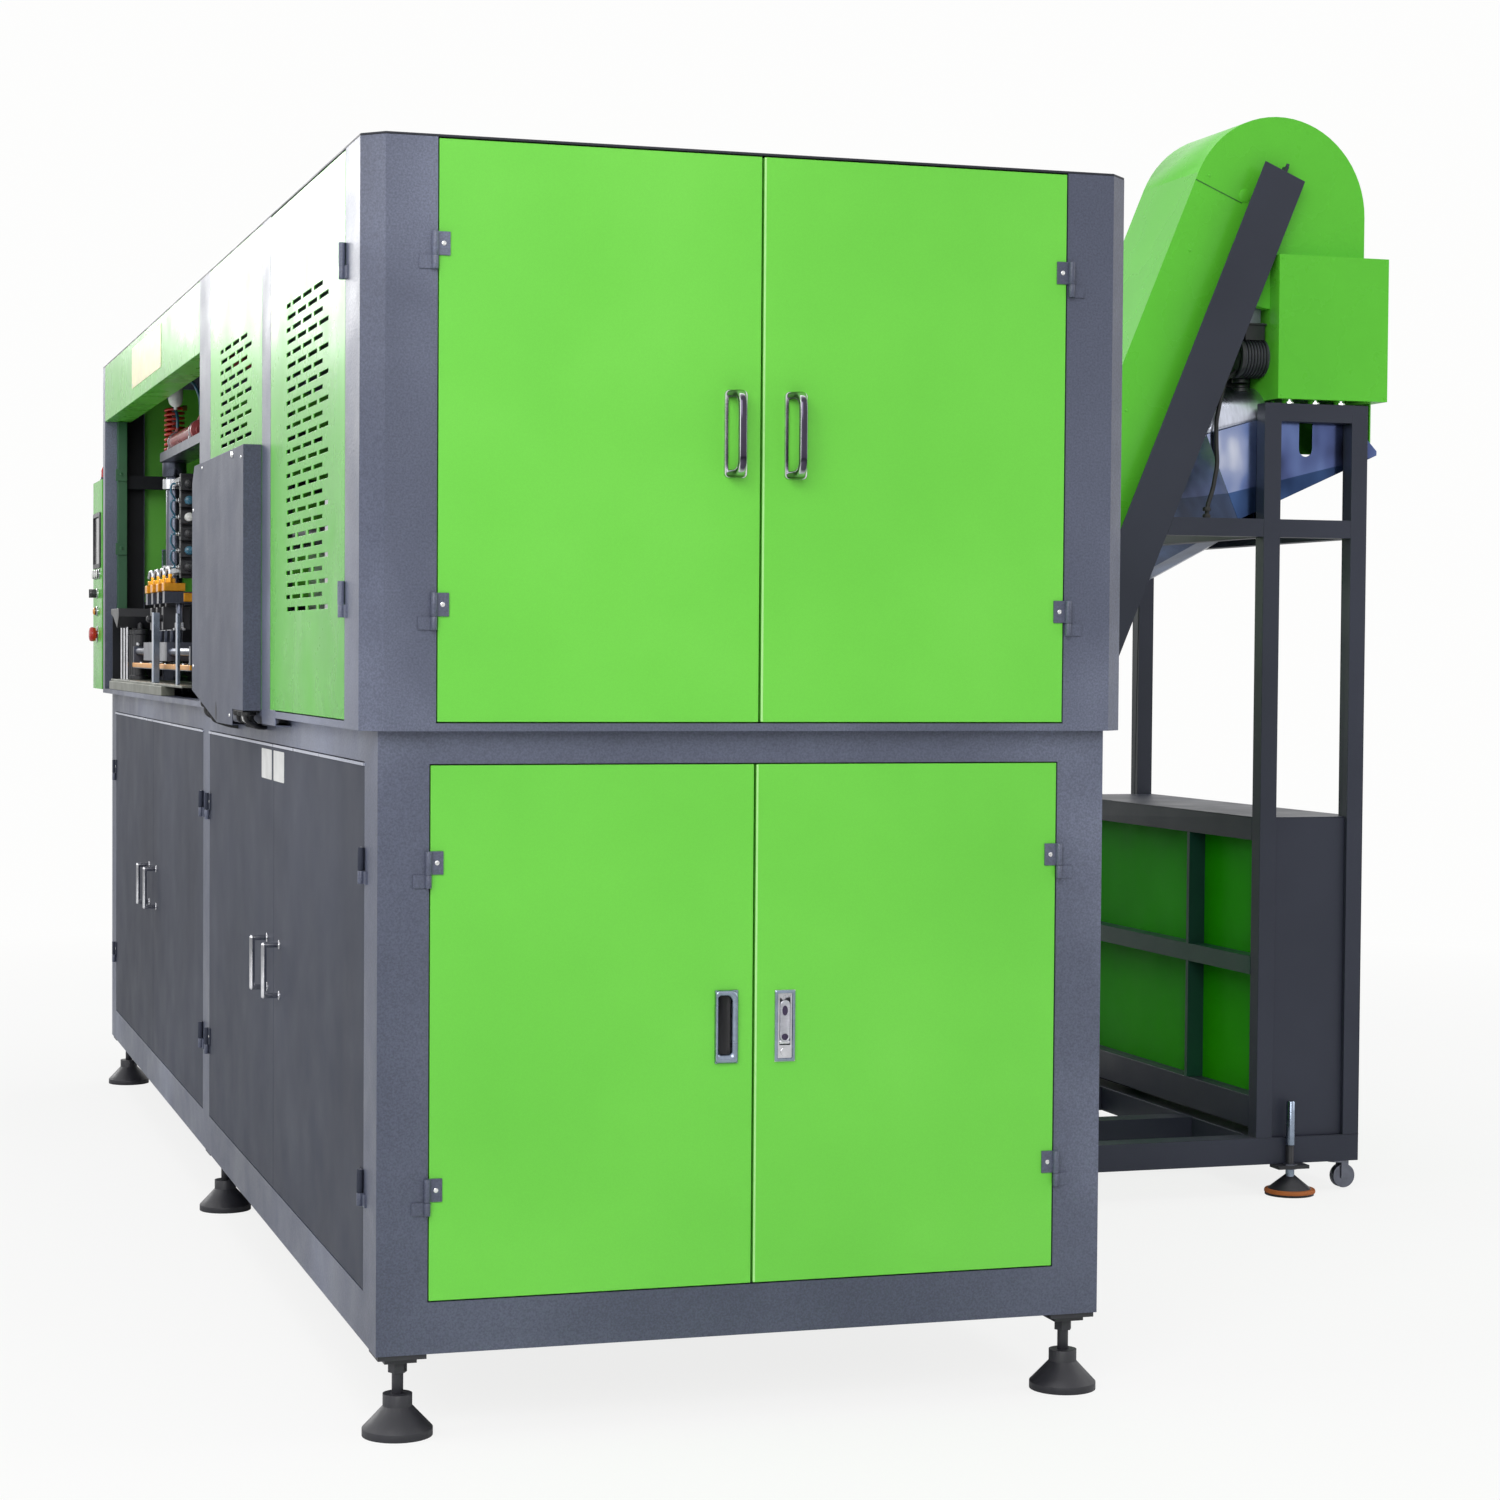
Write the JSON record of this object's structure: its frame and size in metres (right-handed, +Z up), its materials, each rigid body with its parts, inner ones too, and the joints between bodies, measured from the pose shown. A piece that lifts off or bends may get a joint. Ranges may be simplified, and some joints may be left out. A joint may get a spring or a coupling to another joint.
{
  "type": "blow moulding machine",
  "caption": "Linear stretch-blow moulding machine: enclosed two-tier cabinet with doors, side window over the moulds, and a separate inclined preform elevator.",
  "frame": {"origin": "centre of the footprint of the machine and its elevator together, on the floor", "axes": "+Z up, +Y along the machine from its front doors to its rear end, +X from the blowing station's open side towards the elevator"},
  "size_m": [2.663, 4.4, 2.4288],
  "materials": {
    "cabinet_paint": "fine hammered grey paint",
    "door_green": "smooth bright green powder coat",
    "side_door_paint": "dark grey textured paint",
    "chrome": "polished",
    "hinge_black": "dark steel",
    "feet_steel": "black",
    "caster_tread": "solid tread",
    "elevator_paint": "dark blue-grey paint",
    "elevator_green": "smooth green paint",
    "stainless": "brushed stainless sheet",
    "belt_rubber": "cleated belt",
    "motor_paint": "grey motor paint",
    "bright_steel": "machined steel",
    "mould_aluminium": "machined aluminium",
    "hose_plastic": "orange-red polyurethane hose",
    "oven_steel": "bright sheet reflectors",
    "switchgear": "light grey plastic on a plate",
    "console_paint": "green powder coat",
    "control_plastic": "dark plastic",
    "stop_red": "red plastic"
  },
  "bodies": {
    "machine": {"air_hose": "hose_plastic", "base_panels": "elevator_green", "clamp_unit": "bright_steel", "cleated_belt": "belt_rubber", "console_box": "console_paint", "console_controls": "control_plastic", "conveyor_housing": "elevator_green", "electric_panel": "switchgear", "elevator_frame": "elevator_paint", "gearmotor": "motor_paint", "header_panel": "door_green", "hinge_pivots": "hinge_black", "junction_box": "cabinet_paint", "levelling_feet": "feet_steel", "loading_hopper": "stainless", "lower_frame": "cabinet_paint", "lower_panels": "cabinet_paint", "motor_cover": "elevator_green", "oven_bank": "oven_steel", "preform_rail": "stainless", "roof_panel": "cabinet_paint", "side_vent_panel": "door_green", "sorter_trough": "stainless", "stretch_columns": "bright_steel", "transfer_rail": "bright_steel", "upper_frame": "cabinet_paint", "upper_panels": "door_green"},
    "upper_left_door": {"upper_left_door": "door_green", "upper_left_door_hinges": "hinge_black", "upper_left_pull": "chrome"},
    "upper_right_door": {"upper_right_door": "door_green", "upper_right_door_hinges": "hinge_black", "upper_right_pull": "chrome"},
    "lower_left_door": {"lower_left_door": "door_green", "lower_left_door_hinges": "hinge_black", "recessed_pull": "chrome"},
    "lower_right_door": {"lower_right_door": "door_green", "lower_right_door_hinges": "hinge_black", "flush_latch": "chrome"},
    "vent_door": {"vent_door": "door_green"},
    "side_door_1": {"side_door_1": "side_door_paint", "side_door_1_handle": "chrome"},
    "side_door_2": {"side_door_2": "side_door_paint", "side_door_2_handle": "chrome"},
    "side_door_3": {"side_door_3": "side_door_paint", "side_door_3_handle": "chrome"},
    "side_door_4": {"side_door_4": "side_door_paint", "side_door_4_handle": "chrome"},
    "latch_lever": {"latch_lever": "chrome"},
    "emergency_button": {"emergency_button": "stop_red"},
    "mould_half_left": {"mould_half_left": "mould_aluminium"},
    "mould_half_right": {"mould_half_right": "mould_aluminium"},
    "stretch_carriage": {"stretch_carriage": "bright_steel"},
    "transfer_carriage": {"transfer_carriage": "bright_steel"},
    "head_drum": {"head_drum": "stainless"},
    "tail_drum": {"tail_drum": "stainless"},
    "sorter_roller_left": {"sorter_roller_left": "stainless"},
    "sorter_roller_right": {"sorter_roller_right": "stainless"},
    "caster_fork": {"caster_fork": "feet_steel"},
    "caster_wheel": {"caster_wheel": "caster_tread"}
  },
  "joints": [
    {"name": "upper_left_door_hinge", "type": "hinge", "parent": "machine", "child": "upper_left_door", "pos_m": [-1.1895, -2.161, 1.092], "axis": [0, 0, 1], "range_deg": [-110, 0]},
    {"name": "upper_right_door_hinge", "type": "hinge", "parent": "machine", "child": "upper_right_door", "pos_m": [-0.1475, -2.161, 1.092], "axis": [0, 0, 1], "range_deg": [0, 110]},
    {"name": "lower_left_door_hinge", "type": "hinge", "parent": "machine", "child": "lower_left_door", "pos_m": [-1.1905, -2.132, 0.132], "axis": [0, 0, 1], "range_deg": [-110, 0]},
    {"name": "lower_right_door_hinge", "type": "hinge", "parent": "machine", "child": "lower_right_door", "pos_m": [-0.1465, -2.132, 0.132], "axis": [0, 0, 1], "range_deg": [0, 110]},
    {"name": "side_door_1_hinge", "type": "hinge", "parent": "machine", "child": "side_door_1", "pos_m": [-1.2745, 1.835, 0.132], "axis": [0, 0, 1], "range_deg": [-90, 0]},
    {"name": "side_door_2_hinge", "type": "hinge", "parent": "machine", "child": "side_door_2", "pos_m": [-1.2745, -0.053, 0.132], "axis": [0, 0, 1], "range_deg": [0, 90]},
    {"name": "side_door_3_hinge", "type": "hinge", "parent": "machine", "child": "side_door_3", "pos_m": [-1.2745, -0.158, 0.132], "axis": [0, 0, 1], "range_deg": [-90, 0]},
    {"name": "side_door_4_hinge", "type": "hinge", "parent": "machine", "child": "side_door_4", "pos_m": [-1.2745, -2.017, 0.132], "axis": [0, 0, 1], "range_deg": [0, 90]},
    {"name": "vent_door_hinge", "type": "hinge", "parent": "machine", "child": "vent_door", "pos_m": [-1.3035, -1.998, 1.092], "axis": [0, 0, 1], "range_deg": [0, 110]},
    {"name": "latch_lever_pivot", "type": "hinge", "parent": "lower_right_door", "child": "latch_lever", "pos_m": [-0.6145, -2.126, 0.5965], "axis": [1, 0, 0], "range_deg": [0, 60], "stiffness_Nm_per_rad": 0.05},
    {"name": "emergency_button_press", "type": "slide", "parent": "machine", "child": "emergency_button", "axis": [1, 0, 0], "range_m": [0, 0.005], "stiffness_N_per_m": 2000},
    {"name": "mould_left_slide", "type": "slide", "parent": "machine", "child": "mould_half_left", "axis": [-1, 0, 0], "range_m": [0, 0.14]},
    {"name": "mould_right_slide", "type": "slide", "parent": "machine", "child": "mould_half_right", "axis": [1, 0, 0], "range_m": [0, 0.14]},
    {"name": "stretch_carriage_slide", "type": "slide", "parent": "machine", "child": "stretch_carriage", "axis": [0, 0, -1], "range_m": [0, 0.06]},
    {"name": "transfer_slide", "type": "slide", "parent": "machine", "child": "transfer_carriage", "axis": [0, 1, 0], "range_m": [-0.32, 0.2]},
    {"name": "head_drum_spin", "type": "hinge", "parent": "machine", "child": "head_drum", "pos_m": [0.9915, -0.351, 2.24821], "axis": [0, 1, 0], "continuous": true},
    {"name": "tail_drum_spin", "type": "hinge", "parent": "machine", "child": "tail_drum", "pos_m": [0.21097, -0.351, 0.36383], "axis": [0, 1, 0], "continuous": true},
    {"name": "sorter_roller_left_spin", "type": "hinge", "parent": "machine", "child": "sorter_roller_left", "pos_m": [1.1195, 0.2054, 1.50639], "axis": [0, 0.9781, -0.2079], "continuous": true},
    {"name": "sorter_roller_right_spin", "type": "hinge", "parent": "machine", "child": "sorter_roller_right", "pos_m": [1.1955, 0.2054, 1.50639], "axis": [0, 0.9781, -0.2079], "continuous": true},
    {"name": "caster_swivel", "type": "hinge", "parent": "machine", "child": "caster_fork", "pos_m": [1.2465, -0.506, 0.068], "axis": [0, 0, 1], "continuous": true},
    {"name": "caster_wheel_spin", "type": "hinge", "parent": "caster_fork", "child": "caster_wheel", "pos_m": [1.2625, -0.506, 0.03], "axis": [0, 1, 0], "continuous": true}
  ],
  "couplings": [
    {"joint": "mould_right_slide", "follows": "mould_left_slide", "ratio": 1},
    {"joint": "tail_drum_spin", "follows": "head_drum_spin", "ratio": 1},
    {"joint": "sorter_roller_right_spin", "follows": "sorter_roller_left_spin", "ratio": -1}
  ]
}
